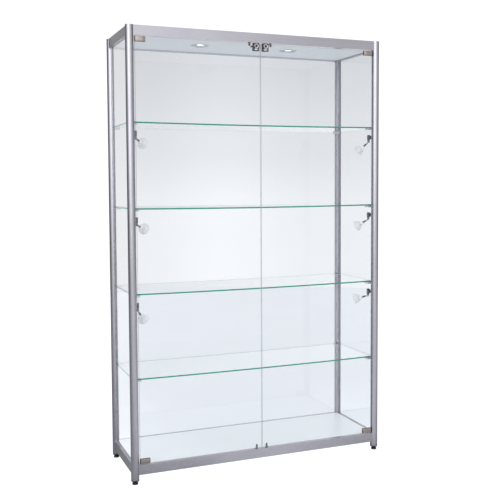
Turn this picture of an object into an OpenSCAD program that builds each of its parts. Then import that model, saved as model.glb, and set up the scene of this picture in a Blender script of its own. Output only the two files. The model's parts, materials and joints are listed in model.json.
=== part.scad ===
// Floor-standing glass display case: round posts, rails, glass doors, glass shelves and spotlights.
// Origin on the floor under the middle of the case, X to the right, Y to the back, Z up, millimetres.

/* [Case] */
// Overall width, over the posts
case_w = 1200; // [1000:10:1500]
// Overall depth, over the posts
case_d = 400; // [380:10:600]
// Overall height, standing on its feet
case_h = 1930; // [1900:10:2200]
// Diameter of the round posts
post_d = 35; // [34:1:38]
// Height of the top and bottom rails
rail_h = 42; // [40:1:50]
// Thickness of the rails
rail_t = 20; // [18:1:22]
// Height of the bottom rails' lower edge above the floor
rail_lift = 40; // [36:1:60]

/* [Glass] */
// Thickness of the panes, doors and shelves
glass_t = 5; // [4:0.5:5]
// Gap between the two doors
door_gap = 3; // [2:0.5:5]
// Gap between a door and the rail above or below it
door_rail_gap = 4; // [4:0.5:6]

/* [Shelves] */
// Height of the lowest shelf's middle above the floor
first_shelf_z = 445; // [400:5:480]
// Distance from one shelf to the next
shelf_pitch = 362.5; // [340:2.5:365]
// Depth of the shelves
shelf_d = 330; // [300:5:330]

/* [Lights] */
// Distance of each ceiling light from the middle of the case
downlight_x = 217; // [150:1:300]
// Outer diameter of the ceiling lights' rims
downlight_d = 84; // [76:1:96]
// Distance of each spotlight bracket's middle below the shelf above it
spot_drop = 47; // [45:1:70]
// Mean downward tilt of the spotlights
spot_tilt = 27; // [20:1:35]
// Diameter of a spotlight's reflector
spot_d = 50; // [46:1:51]

/* [Hidden] */
$fn = 48;

SIDES = [[-1, "left"], [1, "right"]];
ENDS = [[-1, "front"], [1, "rear"]];
LEVELS = [[1, "low"], [2, "middle"], [3, "top"]];
SHELVES = 4;

aluminium = [0.74, 0.74, 0.78];
clear_glass = [0.80, 0.90, 0.90, 0.35];
shelf_glass = [0.35, 0.72, 0.64, 0.5];
white = [0.93, 0.94, 0.96];
dark_metal = [0.30, 0.30, 0.32];
steel = [0.66, 0.64, 0.62];
black = [0.06, 0.06, 0.06];

// Frame
post_x = case_w / 2 - post_d / 2;
post_y = case_d / 2 - post_d / 2;
post_wall = 1.8;
web_t = 1.8;
boss_r = 8.5;
core_r = 5;
groove_w = 6;
groove_depth = 8;
channel_w = 9;
cap_t = 2;
cap_spigot_l = 12;
plug_t = 5;
plug_z = 15;
post_bottom = plug_z + plug_t;
post_top = case_h - cap_t;

rail_wall = 2;
rail_end_gap = 0.05;
top_rail_z = case_h - rail_h;
bottom_rail_top = rail_lift + rail_h;
panel_x = post_x - rail_t / 2;
panel_y = post_y - rail_t / 2;
panel_t = 3;
floor_t = 18;
ceiling_z = top_rail_z + 5;
connector_l = 30;
connector_h = 26;
connector_t = 15.6;

// Fixed panes, which reach into the grooves
glass_x = post_x - post_d / 2 + groove_depth - 1;
glass_y = post_y - post_d / 2 + groove_depth - 1;
pane_bottom = bottom_rail_top - groove_depth;
pane_top = top_rail_z + groove_depth - 1;

// Doors: the left door is described, and the right door is its mirror image
door_front = -post_y - 7.5;
door_back = door_front + glass_t;
door_mid = (door_front + door_back) / 2;
door_bottom = bottom_rail_top + door_rail_gap;
door_top = top_rail_z - door_rail_gap;
door_outer = -post_x + 20.5;
pivot_x = -post_x + 32.5;
clamp_outer = -post_x + 22.5;
clamp_w = 42;
clamp_h = 22;
clamp_plate = 5;
clamp_notch_w = 20;
clamp_notch_h = 18;
pivot_r = 4;
running_gap = 0.05;
pivot_depth = 14;
collar_r = 5;
collar_t = 2.5;
pin_seat = rail_wall + 3;

lock_x = -22;
lock_w = 28;
lock_top = door_top + 2;
lock_h = 34;
lock_z = door_top - 11;
lock_front = door_front - 8;
lock_back = door_back + 4;
lock_r = 9;
flange_t = 1.7;
lock_notch_w = 24;
lock_notch_h = 23;
body_gap = 0.3;
cam_t = 2.5;
cam_w = 8;
cam_r = ceiling_z - lock_z - 1;
cam_y = -panel_y + 2 * body_gap;
cam_shaft_r = 7;
stop_w = 12;
stop_t = 5;
top_stop_x = 50;
top_stop_h = 14;
bottom_stop_x = 24;
bottom_stop_h = 20;

// Shelves
shelf_t = glass_t + 1;
support_h = 8;
support_low = [8, 11.5];
support_high = [34.5, 32.5];
shelf_x = post_x - 5.5;
shelf_relief_r = post_d / 2 + 0.7;

// Feet
foot_r = 13;
foot_h = 10;
neck_r = 6.8;
stem_r = 3.95;
stem_top = 45;
thread_r = 4;
spigot_top = 50;

// Ceiling lights, their transformer and the cable gland
downlight_y = -5;
rim_t = 3;
can_r = 34;
can_wall = 2;
can_h = 26;
lamp_r = 24;
transformer_size = [120, 40, 24];
transformer_y = 100;
gland_x = 500;
gland_z = case_h - 16;
gland_r = 6;
gland_flange_r = 9;
gland_flange_t = 3;
gland_bore_r = 4;

// Spotlights: one left-hand spotlight is described about its swivel axis
spot_x = -post_x + 24.5;
spot_y = -post_y + 17.5;
spot_azimuth = 47;
left_tilts = [15, -10, -11];
right_tilts = [-10, 3, 11];
base_w = 10;
base_h = 24;
base_reach = 13;
swivel_r = 2;
swivel_depth = 10;
head_r = 5;
head_t = 2.7;
tilt_drop = 21;
tilt_r = 1.5;
fork_gap = 6;
ear_t = 2;
ear_w = 8;
tongue_t = fork_gap - 2 * body_gap;
neck_rod_r = 2.2;
holder_r = 4.5;
holder_start = 12;
socket_r = 8;
socket_start = 31;
bowl_start = 42.5;
bowl_end = 67.5;
bowl_base_r = 9.5;
bowl_wall = 2;

function shelf_z(k) = first_shelf_z + shelf_pitch * (k - 1);
function spot_z(level) = shelf_z(level + 1) - spot_drop;
function lamp_tilt(side, level) = spot_tilt + (side < 0 ? left_tilts : right_tilts)[level - 1];

// Draws its children on the left or right, which are mirror images; they are drawn for the left
module on_side(side) {
    mirror([side > 0 ? 1 : 0, 0, 0]) children();
}

// Draws its children in one corner of the case; they are drawn for the front left corner
module in_corner(side, end) {
    mirror([side > 0 ? 1 : 0, 0, 0]) mirror([0, end > 0 ? 1 : 0, 0]) children();
}

module every_corner() {
    for (s = SIDES, e = ENDS) in_corner(s[0], e[0]) children();
}

// A box given by its lowest and highest corners
module box(low, high) {
    translate(low) cube(high - low);
}

// The space that the four posts take, for parts that fit round them
module post_space(r) {
    every_corner() translate([-post_x, -post_y, 0]) cylinder(r = r, h = case_h + 1);
}

// Frame

module post_profile() {
    rim = post_d / 2;
    difference() {
        union() {
            difference() {
                circle(r = rim);
                circle(r = rim - post_wall);
            }
            circle(r = boss_r);
            translate([boss_r - 1, -channel_w / 2]) square([rim - boss_r, channel_w]);
            translate([-channel_w / 2, boss_r - 1]) square([channel_w, rim - boss_r]);
            translate([-rim + post_wall / 2, -web_t / 2]) square([rim - boss_r, web_t]);
            translate([-web_t / 2, -rim + post_wall / 2]) square([web_t, rim - boss_r]);
        }
        circle(r = core_r);
        translate([rim - groove_depth, -groove_w / 2]) square([groove_depth + 1, groove_w]);
        translate([-groove_w / 2, rim - groove_depth]) square([groove_w, groove_depth + 1]);
    }
}

module post(side, end) {
    color(aluminium) in_corner(side, end)
        translate([-post_x, -post_y, post_bottom])
            linear_extrude(post_top - post_bottom) post_profile();
}

module post_caps() {
    color(aluminium) every_corner() translate([-post_x, -post_y, 0]) {
        translate([0, 0, post_top]) cylinder(d = post_d, h = cap_t);
        translate([0, 0, post_top - cap_spigot_l]) cylinder(r = core_r, h = cap_spigot_l);
    }
}

// A rail's section with its lower edge on y = 0; a glazed rail has a glass groove in its upper edge
module rail_profile(glazed) {
    inner_w = rail_t - 2 * rail_wall;
    difference() {
        translate([-rail_t / 2, 0]) square([rail_t, rail_h]);
        difference() {
            translate([-inner_w / 2, rail_wall]) square([inner_w, rail_h - 2 * rail_wall]);
            if (glazed) translate([-groove_w / 2 - rail_wall, rail_h - groove_depth - rail_wall])
                square([groove_w + 2 * rail_wall, groove_depth + rail_wall]);
        }
        if (glazed) translate([-groove_w / 2, rail_h - groove_depth])
            square([groove_w, groove_depth + 1]);
    }
}

// A rail along X or Y, between the posts, with its groove facing up at the bottom and down at the top
module rail(along_x, place, top, glazed) {
    half_l = along_x ? post_x : post_y;
    difference() {
        translate(along_x ? [0, place, 0] : [place, 0, 0])
            rotate([0, 0, along_x ? 0 : 90])
                translate([-half_l, 0, top ? case_h : rail_lift])
                    mirror([0, 0, top ? 1 : 0])
                        rotate([90, 0, 90]) linear_extrude(2 * half_l) rail_profile(glazed);
        post_space(post_d / 2 + rail_end_gap);
    }
}

module top_rail_front() {
    color(aluminium) difference() {
        rail(true, -post_y, true, false);
        for (s = SIDES) on_side(s[0])
            translate([pivot_x, door_mid, top_rail_z - 1]) cylinder(r = pivot_r, h = pin_seat + 1);
    }
}

module top_rail_rear() {
    color(aluminium) difference() {
        rail(true, post_y, true, true);
        translate([gland_x, panel_y - 1, gland_z]) rotate([-90, 0, 0])
            cylinder(r = gland_r, h = rail_t + 2);
    }
}

module top_rail_side(side) {
    color(aluminium) rail(false, side * post_x, true, true);
}

module bottom_rail_front() {
    color(aluminium) difference() {
        rail(true, -post_y, false, false);
        for (s = SIDES) on_side(s[0])
            translate([pivot_x, door_mid, bottom_rail_top - pin_seat])
                cylinder(r = pivot_r, h = pin_seat + 1);
    }
}

module bottom_rail_rear() {
    color(aluminium) rail(true, post_y, false, true);
}

module bottom_rail_side(side) {
    color(aluminium) rail(false, side * post_x, false, true);
}

// Solid blocks inside the rails' ends, on the side of the rail away from the glass groove
module rail_connectors() {
    color(steel) every_corner() difference() {
        for (z = [rail_lift + rail_wall, case_h - rail_wall - connector_h]) {
            box([-post_x, -post_y - connector_t / 2, z],
                [-post_x + post_d / 2 + connector_l, -post_y + connector_t / 2, z + connector_h]);
            box([-post_x - connector_t / 2, -post_y, z],
                [-post_x + connector_t / 2, -post_y + post_d / 2 + connector_l, z + connector_h]);
        }
        translate([-post_x, -post_y, 0]) cylinder(d = post_d, h = case_h);
    }
}

// A horizontal panel between the rails, relieved at the posts
module panel(z, t) {
    difference() {
        box([-panel_x, -panel_y, z], [panel_x, panel_y, z + t]);
        post_space(post_d / 2);
    }
}

module top_cover() {
    color(aluminium) panel(case_h - panel_t - 1, panel_t);
}

module ceiling_panel() {
    color(white) difference() {
        panel(ceiling_z, panel_t);
        for (s = SIDES) on_side(s[0]) translate([-downlight_x, downlight_y, ceiling_z - 1])
            cylinder(r = can_r, h = panel_t + 2);
    }
}

module floor_panel() {
    color(white) panel(bottom_rail_top - floor_t, floor_t);
}

// Fixed glass, held in the grooves of the posts and rails

module glass_side(side) {
    color(clear_glass) on_side(side)
        box([-post_x - glass_t / 2, -glass_y, pane_bottom], [-post_x + glass_t / 2, glass_y, pane_top]);
}

module glass_rear() {
    color(clear_glass)
        box([-glass_x, post_y - glass_t / 2, pane_bottom], [glass_x, post_y + glass_t / 2, pane_top]);
}

// Doors

// The left door's pane: its corners are cut out for the pivots and its top edge for the lock
module door_pane() {
    difference() {
        box([door_outer, door_front, door_bottom], [-door_gap / 2, door_back, door_top]);
        for (z = [door_bottom - 1, door_top - clamp_notch_h])
            box([door_outer - 1, door_front - 1, z],
                [door_outer + clamp_notch_w, door_back + 1, z + clamp_notch_h + 1]);
        box([lock_x - lock_notch_w / 2, door_front - 1, door_top - lock_notch_h],
            [lock_x + lock_notch_w / 2, door_back + 1, door_top + 1]);
    }
}

module door_glass(side) {
    color(clear_glass) on_side(side) door_pane();
}

// Patch fittings that grip the door's outer corners, each with a blind hole for its pivot pin
module hinge_clamps(side) {
    color(steel) on_side(side) difference() {
        for (z = [door_bottom - 0.5, door_top + 0.5 - clamp_h])
            box([clamp_outer, door_front - clamp_plate, z],
                [clamp_outer + clamp_w, door_back + clamp_plate, z + clamp_h]);
        door_pane();
        for (z = [door_bottom - 1, door_top + 1 - pivot_depth])
            translate([pivot_x, door_mid, z]) cylinder(r = pivot_r + running_gap, h = pivot_depth);
    }
}

// Pins seated in the front rails; the lower ones have a collar that carries the door
module pivot_pins() {
    reach = door_rail_gap + pivot_depth - 3;
    color(steel) for (s = SIDES) on_side(s[0]) translate([pivot_x, door_mid, 0]) {
        translate([0, 0, top_rail_z - reach]) cylinder(r = pivot_r, h = reach + pin_seat);
        translate([0, 0, bottom_rail_top - pin_seat]) cylinder(r = pivot_r, h = reach + pin_seat);
        translate([0, 0, bottom_rail_top]) cylinder(r = collar_r, h = collar_t);
    }
}

// Tabs behind the doors, under the top rail and on the bottom rail, that a closed door rests on
module door_stops() {
    y = door_back + body_gap;
    color(dark_metal) for (s = SIDES) on_side(s[0]) {
        translate([-top_stop_x, y + stop_t, top_rail_z]) rotate([90, 0, 0]) linear_extrude(stop_t)
            polygon([[-stop_w / 2, 0], [-stop_w / 3, -top_stop_h], [stop_w / 3, -top_stop_h],
                [stop_w / 2, 0]]);
        box([-bottom_stop_x - stop_w / 2, y, bottom_rail_top],
            [-bottom_stop_x + stop_w / 2, y + stop_t, bottom_rail_top + bottom_stop_h]);
    }
}

module lock_body(side) {
    color(dark_metal) on_side(side) difference() {
        box([lock_x - lock_w / 2, lock_front, lock_top - lock_h],
            [lock_x + lock_w / 2, lock_back, lock_top]);
        door_pane();
        translate([lock_x, lock_front - 1, lock_z]) rotate([-90, 0, 0])
            cylinder(r = lock_r + running_gap, h = lock_back - lock_front + 2);
    }
}

// The keyed cylinder and its cam, which lies sideways when the door is unlocked and turns up
// behind the top rail to lock it
module lock_cylinder(side) {
    face = lock_front - body_gap - flange_t;
    color(steel) on_side(side) translate([lock_x, 0, lock_z]) difference() {
        union() {
            translate([0, face, 0]) rotate([-90, 0, 0]) {
                cylinder(r = lock_r + 1, h = flange_t);
                cylinder(r = lock_r, h = lock_back + body_gap - face);
            }
            translate([0, lock_back, 0]) rotate([-90, 0, 0])
                cylinder(r = cam_shaft_r, h = cam_y + cam_t - lock_back);
            box([-cam_r, cam_y, -cam_w / 2], [0, cam_y + cam_t, cam_w / 2]);
        }
        box([-0.7, face - 1, -4], [0.7, face + 6, 4]);
    }
}

// Shelves

module shelf(k) {
    color(shelf_glass) difference() {
        box([-shelf_x, -shelf_d / 2, shelf_z(k) - shelf_t / 2],
            [shelf_x, shelf_d / 2, shelf_z(k) + shelf_t / 2]);
        post_space(shelf_relief_r);
    }
}

// Blocks under the shelf's corners, hollowed to follow the posts
module shelf_supports(k) {
    top = shelf_z(k) - shelf_t / 2;
    color(steel) every_corner() translate([-post_x, -post_y, 0]) difference() {
        box(concat(support_low, top - support_h), concat(support_high, top));
        cylinder(r = post_d / 2 + body_gap, h = case_h);
    }
}

// Feet

module foot_plugs() {
    color(black) every_corner() translate([-post_x, -post_y, plug_z]) difference() {
        union() {
            cylinder(d = post_d, h = plug_t);
            cylinder(r = core_r, h = spigot_top - plug_z);
        }
        translate([0, 0, -1]) cylinder(r = thread_r, h = spigot_top - plug_z + 2);
    }
}

module foot(side, end) {
    color(black) in_corner(side, end) translate([-post_x, -post_y, 0]) {
        cylinder(r = foot_r, h = foot_h);
        cylinder(r = neck_r, h = plug_z - body_gap);
        cylinder(r = stem_r, h = stem_top);
    }
}

// Lights in the ceiling

module downlight_rims() {
    color(aluminium) for (s = SIDES) on_side(s[0]) translate([-downlight_x, downlight_y, 0])
        difference() {
            union() {
                translate([0, 0, ceiling_z - rim_t]) cylinder(d = downlight_d, h = rim_t);
                translate([0, 0, ceiling_z - rim_t]) cylinder(r = can_r, h = can_h + rim_t);
            }
            translate([0, 0, ceiling_z - rim_t - 1])
                cylinder(r = can_r - can_wall, h = can_h + rim_t + 1 - can_wall);
        }
}

module downlight_lamps() {
    top = ceiling_z + can_h - can_wall;
    color(white) for (s = SIDES) on_side(s[0]) translate([-downlight_x, downlight_y, 0]) {
        translate([0, 0, top - 10]) cylinder(r = 12, h = 10);
        translate([0, 0, top - 22]) cylinder(r = lamp_r, h = 12);
    }
}

module transformer() {
    color(black) translate([0, transformer_y, ceiling_z + panel_t]) {
        translate([-transformer_size[0] / 2, -transformer_size[1] / 2, 0]) cube(transformer_size);
        translate([-transformer_size[0] / 2 - 12, -12, 0]) cube([transformer_size[0] + 24, 24, 2]);
    }
}

// A bush through both walls of the rear top rail
module cable_gland() {
    color(black) translate([gland_x, panel_y, gland_z]) rotate([-90, 0, 0]) difference() {
        union() {
            cylinder(r = gland_r, h = rail_t + gland_flange_t);
            translate([0, 0, rail_t]) cylinder(r = gland_flange_r, h = gland_flange_t);
        }
        translate([0, 0, -1]) cylinder(r = gland_bore_r, h = rail_t + gland_flange_t + 2);
    }
}

// Spotlights on the front posts

// Places children at a spotlight's swivel axis, at the middle of its base
module at_spot(side, level) {
    on_side(side) translate([spot_x, spot_y, spot_z(level)]) children();
}

module spot_base() {
    difference() {
        union() {
            box([-base_w / 2, -base_w / 2, -base_h / 2], [base_w / 2, base_w / 2, base_h / 2]);
            box([-base_reach, -base_w, -base_h / 3], [0, 0, base_h / 3]);
        }
        translate([0, 0, -base_h / 2 - 1]) cylinder(r = swivel_r + running_gap, h = swivel_depth + 1);
        translate([-post_x - spot_x, -post_y - spot_y, -base_h]) cylinder(d = post_d, h = 2 * base_h);
    }
}

module spot_bases() {
    color(dark_metal) for (s = SIDES, l = LEVELS) at_spot(s[0], l[0]) spot_base();
}

// The swivelling fork: a head under the base, a pin up into it, two ears and a cross pin
module spot_arm(side, level) {
    head_top = -base_h / 2 - body_gap;
    color(dark_metal) at_spot(side, level) {
        translate([0, 0, head_top - head_t]) cylinder(r = head_r, h = head_t);
        translate([0, 0, head_top - head_t]) cylinder(r = swivel_r, h = head_t + swivel_depth - 1);
        rotate([0, 0, spot_azimuth]) {
            for (w = [-fork_gap / 2 - ear_t, fork_gap / 2]) {
                box([-ear_w / 2, w, -tilt_drop], [ear_w / 2, w + ear_t, head_top - head_t + 1]);
                translate([0, w, -tilt_drop]) rotate([-90, 0, 0]) cylinder(d = ear_w, h = ear_t);
            }
            translate([0, -fork_gap / 2 - ear_t, -tilt_drop]) rotate([-90, 0, 0])
                cylinder(r = tilt_r, h = fork_gap + 2 * ear_t);
        }
    }
}

// The lamp: a tongue on the cross pin, a neck, a holder, a socket and a round reflector open at
// the front, each lamp tilted its own way
module spot_lamp(side, level) {
    color(white) at_spot(side, level) rotate([0, 0, spot_azimuth]) translate([0, 0, -tilt_drop]) {
        rotate([0, 90 + lamp_tilt(side, level), 0]) difference() {
            union() {
                translate([0, -tongue_t / 2, 0]) rotate([-90, 0, 0]) cylinder(d = ear_w, h = tongue_t);
                cylinder(r = neck_rod_r, h = holder_start + 1);
                translate([0, 0, holder_start])
                    cylinder(r = holder_r, h = socket_start - holder_start + 1);
                translate([0, 0, socket_start]) cylinder(r = socket_r, h = bowl_start - socket_start);
                translate([0, 0, bowl_start]) reflector();
            }
            translate([0, -tongue_t, 0]) rotate([-90, 0, 0])
                cylinder(r = tilt_r + running_gap, h = 2 * tongue_t);
        }
    }
}

// A bowl whose radius grows with the square root of the distance from its base
module reflector() {
    depth = bowl_end - bowl_start;
    rim_r = spot_d / 2;
    steps = 8;
    function outer_r(t) = bowl_base_r + (rim_r - bowl_base_r) * sqrt(t);
    outer = [for (i = [0:steps]) [outer_r(i / steps), depth * i / steps]];
    inner = [for (i = [steps:-1:1]) [outer_r(i / steps) - bowl_wall, depth * i / steps]];
    rotate_extrude() polygon(concat([[0, 0]], outer, inner, [[0, depth / steps]]));
}

for (s = SIDES, e = ENDS) {
    post(s[0], e[0]);
    foot(s[0], e[0]);
}
for (s = SIDES) {
    top_rail_side(s[0]);
    bottom_rail_side(s[0]);
    glass_side(s[0]);
    door_glass(s[0]);
    hinge_clamps(s[0]);
    lock_body(s[0]);
    lock_cylinder(s[0]);
}
for (s = SIDES, l = LEVELS) {
    spot_arm(s[0], l[0]);
    spot_lamp(s[0], l[0]);
}
for (k = [1:SHELVES]) {
    shelf(k);
    shelf_supports(k);
}
top_rail_front();
top_rail_rear();
bottom_rail_front();
bottom_rail_rear();
top_cover();
ceiling_panel();
floor_panel();
glass_rear();
post_caps();
rail_connectors();
downlight_rims();
downlight_lamps();
transformer();
cable_gland();
pivot_pins();
door_stops();
foot_plugs();
spot_bases();
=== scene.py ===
import json
import math

import bmesh
import bpy
from mathutils import Matrix, Vector


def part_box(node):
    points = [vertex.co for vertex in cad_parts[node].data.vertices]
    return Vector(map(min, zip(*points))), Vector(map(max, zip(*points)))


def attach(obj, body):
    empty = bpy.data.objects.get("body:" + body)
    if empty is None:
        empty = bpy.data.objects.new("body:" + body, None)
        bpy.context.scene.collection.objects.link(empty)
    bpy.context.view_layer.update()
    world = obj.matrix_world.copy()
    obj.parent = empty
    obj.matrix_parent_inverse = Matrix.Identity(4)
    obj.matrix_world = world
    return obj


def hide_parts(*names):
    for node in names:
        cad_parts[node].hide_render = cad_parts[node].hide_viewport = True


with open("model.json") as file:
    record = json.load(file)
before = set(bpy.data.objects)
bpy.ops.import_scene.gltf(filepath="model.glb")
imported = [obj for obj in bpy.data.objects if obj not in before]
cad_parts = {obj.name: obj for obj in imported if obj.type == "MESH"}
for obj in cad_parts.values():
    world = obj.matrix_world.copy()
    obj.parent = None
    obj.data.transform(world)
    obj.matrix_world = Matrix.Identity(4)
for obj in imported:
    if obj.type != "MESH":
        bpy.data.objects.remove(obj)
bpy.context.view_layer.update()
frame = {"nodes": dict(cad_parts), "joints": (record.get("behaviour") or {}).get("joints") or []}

# The display case stands on z = 0 with its doors towards -Y. Lengths are in metres.
MM = 0.001
SIDES = {"left": -1, "right": 1}
ENDS = ("front", "rear")
LEVELS = ("low", "middle", "top")
SHELVES = (1, 2, 3, 4)
JOINTS = {joint["name"]: joint for joint in frame["joints"]}


# ---------------------------------------------------------------- camera

SENSOR = 36.0
LENS = 57.2472
SHIFT_UP = -0.044
CAMERA_AT = Vector((-1.3600, -3.4405, 1.2808))
CAMERA_YAW = math.radians(21.893)
CAMERA_PITCH = math.radians(-3.315)
CAMERA_ROLL = math.radians(-0.295)


def make_camera():
    """A camera in front of the case and to its left, a little above the middle of its height."""
    data = bpy.data.cameras.new("camera")
    data.sensor_width = SENSOR
    data.lens = LENS
    data.shift_y = SHIFT_UP
    data.clip_start, data.clip_end = 0.05, 100
    forward = Vector((math.sin(CAMERA_YAW) * math.cos(CAMERA_PITCH),
                      math.cos(CAMERA_YAW) * math.cos(CAMERA_PITCH), math.sin(CAMERA_PITCH)))
    level_right = Vector((math.cos(CAMERA_YAW), -math.sin(CAMERA_YAW), 0))
    level_up = level_right.cross(forward)
    right = math.cos(CAMERA_ROLL) * level_right + math.sin(CAMERA_ROLL) * level_up
    up = math.cos(CAMERA_ROLL) * level_up - math.sin(CAMERA_ROLL) * level_right
    camera = bpy.data.objects.new("camera", data)
    axes = Matrix((right, up, -forward)).transposed()
    camera.matrix_world = Matrix.Translation(CAMERA_AT) @ axes.to_4x4()
    bpy.context.scene.collection.objects.link(camera)
    bpy.context.scene.camera = camera


# ---------------------------------------------------------------- shader building

class Graph:
    """Short ways to add nodes to a shader tree. A value is a number or another node's output."""

    def __init__(self, tree):
        self.nodes = tree.nodes
        self.links = tree.links

    def connect(self, socket, value):
        if isinstance(value, (int, float)):
            socket.default_value = value
        else:
            self.links.new(value, socket)

    def math(self, operation, *values):
        node = self.nodes.new("ShaderNodeMath")
        node.operation = operation
        for socket, value in zip(node.inputs, values):
            self.connect(socket, value)
        return node.outputs[0]

    def mix(self, factor, first, second):
        node = self.nodes.new("ShaderNodeMix")
        node.data_type = "FLOAT"
        for index, value in ((0, factor), (2, first), (3, second)):
            self.connect(node.inputs[index], value)
        return node.outputs[0]

    def ranged(self, pattern, low, high, spread=(0.3, 0.7), smooth=False):
        """The pattern with its spread taken to low..high."""
        node = self.nodes.new("ShaderNodeMapRange")
        node.interpolation_type = "SMOOTHSTEP" if smooth else "LINEAR"
        node.inputs["From Min"].default_value, node.inputs["From Max"].default_value = spread
        node.inputs["To Min"].default_value, node.inputs["To Max"].default_value = low, high
        self.links.new(pattern, node.inputs["Value"])
        return node.outputs["Result"]

    def ramp(self, factor, stops):
        """A grey ramp through (position, brightness) stops; brightness may be over 1."""
        node = self.nodes.new("ShaderNodeValToRGB")
        node.color_ramp.interpolation = "EASE"
        elements = node.color_ramp.elements
        brightest = max(value for _, value in stops)
        while len(elements) < len(stops):
            elements.new(0.5)
        for element, (position, value) in zip(elements, stops):
            element.position = position
            element.color = (value / brightest,) * 3 + (1,)
        self.links.new(factor, node.inputs["Fac"])
        return self.math("MULTIPLY", node.outputs["Color"], brightest)


# ---------------------------------------------------------------- materials

class Material(Graph):
    """A Principled material and short ways to feed its sockets from procedural patterns."""

    def __init__(self, name, color, roughness, metallic=0.0, **sockets):
        self.data = bpy.data.materials.new(name)
        self.data.use_nodes = True
        super().__init__(self.data.node_tree)
        self.shader = self.nodes["Principled BSDF"]
        self.set("Base Color", (*color, 1.0))
        self.set("Roughness", roughness)
        self.set("Metallic", metallic)
        for socket, value in sockets.items():
            self.set(socket.replace("_", " "), value)
        self.coordinates = self.nodes.new("ShaderNodeTexCoord").outputs["Object"]

    def set(self, socket, value):
        self.shader.inputs[socket].default_value = value

    def noise(self, scale, detail=3.0, stretch=(1, 1, 1)):
        """A noise pattern from 0 to 1 with about scale features to the metre, drawn out by stretch."""
        mapping = self.nodes.new("ShaderNodeMapping")
        mapping.inputs["Scale"].default_value = [scale * s for s in stretch]
        self.links.new(self.coordinates, mapping.inputs["Vector"])
        texture = self.nodes.new("ShaderNodeTexNoise")
        texture.inputs["Scale"].default_value = 1.0
        texture.inputs["Detail"].default_value = detail
        self.links.new(mapping.outputs["Vector"], texture.inputs["Vector"])
        return texture.outputs["Fac"]

    def mixed(self, pattern, first, second):
        """A colour between two others, by the pattern."""
        node = self.nodes.new("ShaderNodeValToRGB")
        node.color_ramp.elements[0].position, node.color_ramp.elements[1].position = 0.3, 0.7
        node.color_ramp.elements[0].color = (*first, 1.0)
        node.color_ramp.elements[1].color = (*second, 1.0)
        self.links.new(pattern, node.inputs["Fac"])
        return node.outputs["Color"]

    def feed(self, socket, value):
        self.links.new(value, self.shader.inputs[socket])

    def bump(self, pattern, depth):
        node = self.nodes.new("ShaderNodeBump")
        node.inputs["Strength"].default_value = 1.0
        node.inputs["Distance"].default_value = depth
        self.links.new(pattern, node.inputs["Height"])
        self.feed("Normal", node.outputs["Normal"])

    def let_light_through(self, color):
        """Lets shadow and diffuse rays pass straight through, tinted, as they do through clear glass."""
        path = self.nodes.new("ShaderNodeLightPath")
        clear = self.nodes.new("ShaderNodeBsdfTransparent")
        clear.inputs["Color"].default_value = (*color, 1.0)
        mix = self.nodes.new("ShaderNodeMixShader")
        passing = self.math("MAXIMUM", path.outputs["Is Shadow Ray"], path.outputs["Is Diffuse Ray"])
        self.links.new(passing, mix.inputs["Fac"])
        self.links.new(self.shader.outputs["BSDF"], mix.inputs[1])
        self.links.new(clear.outputs["BSDF"], mix.inputs[2])
        self.links.new(mix.outputs["Shader"], self.nodes["Material Output"].inputs["Surface"])


def anodised(name, along, brightness=1.0):
    """Satin anodised aluminium with fine drawing lines along one axis. A brightness over 1 gives a lighter
    copy of it, which is painted light.
    """
    stretch = [0.004 if axis == along else 1 for axis in "xyz"]
    light = [brightness * c for c in (0.45, 0.44, 0.482)]
    made = Material(name, light, 0.26, metallic=1.0)
    lines = made.noise(2600, 2.0, stretch)
    cloud = made.noise(9, 4.0)
    made.feed("Base Color", made.mixed(cloud, [0.94 * c for c in light], light))
    made.feed("Roughness", made.ranged(lines, 0.21, 0.31))
    made.bump(lines, 0.000012)
    return made.data


def float_glass(name, color):
    """Clear float glass, faintly uneven in tint and flatness, which lets light through."""
    made = Material(name, color, 0.0, IOR=1.5, Transmission_Weight=1.0)
    made.feed("Base Color", made.mixed(made.noise(3, 3.0), [c * 0.992 for c in color], color))
    made.bump(made.noise(1.5, 1.0), 0.00004)
    made.let_light_through([0.5 + c / 2 for c in color])
    return made.data


def glass_edge(name, dark, light):
    """The ground edge of a pane, which shows the colour that the glass has in depth."""
    made = Material(name, light, 0.35, Specular_IOR_Level=0.0)
    streak = made.noise(60)
    made.feed("Base Color", made.mixed(streak, dark, light))
    made.bump(made.noise(900, 2.0), 0.00001)
    return made.data


def chrome(name, color, roughness):
    """Plated or polished metal with a faint haze."""
    made = Material(name, color, roughness, metallic=1.0)
    haze = made.noise(140, 4.0)
    made.feed("Roughness", made.ranged(haze, roughness * 0.7, roughness * 1.5))
    made.bump(made.noise(1500, 2.0), 0.000004)
    return made.data


def painted(name, color, roughness, grain=900):
    """Matt painted or laminated sheet with a fine orange-peel surface."""
    made = Material(name, color, roughness)
    cloud = made.noise(5, 4.0)
    deeper = [c * 0.97 for c in color]
    made.feed("Base Color", made.mixed(cloud, deeper, color))
    made.bump(made.noise(grain, 3.0), 0.00002)
    return made.data


def moulded(name, color, roughness):
    """Moulded plastic or rubber with a fine spark-eroded texture and rubbed, duller patches."""
    made = Material(name, color, roughness)
    rubbed = made.noise(60, 4.0)
    lighter = [min(1.0, c * 1.35 + 0.004) for c in color]
    made.feed("Base Color", made.mixed(rubbed, color, lighter))
    made.feed("Roughness", made.ranged(rubbed, roughness * 0.85, roughness * 1.15))
    made.bump(made.noise(2500, 2.0), 0.00002)
    return made.data


def glowing(name, color, strength):
    """The lit face of a lamp, with a faintly uneven front."""
    made = Material(name, color, 0.4)
    made.set("Emission Color", (*color, 1.0))
    made.set("Emission Strength", strength)
    made.bump(made.noise(700, 2.0), 0.00003)
    return made.data


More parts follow.
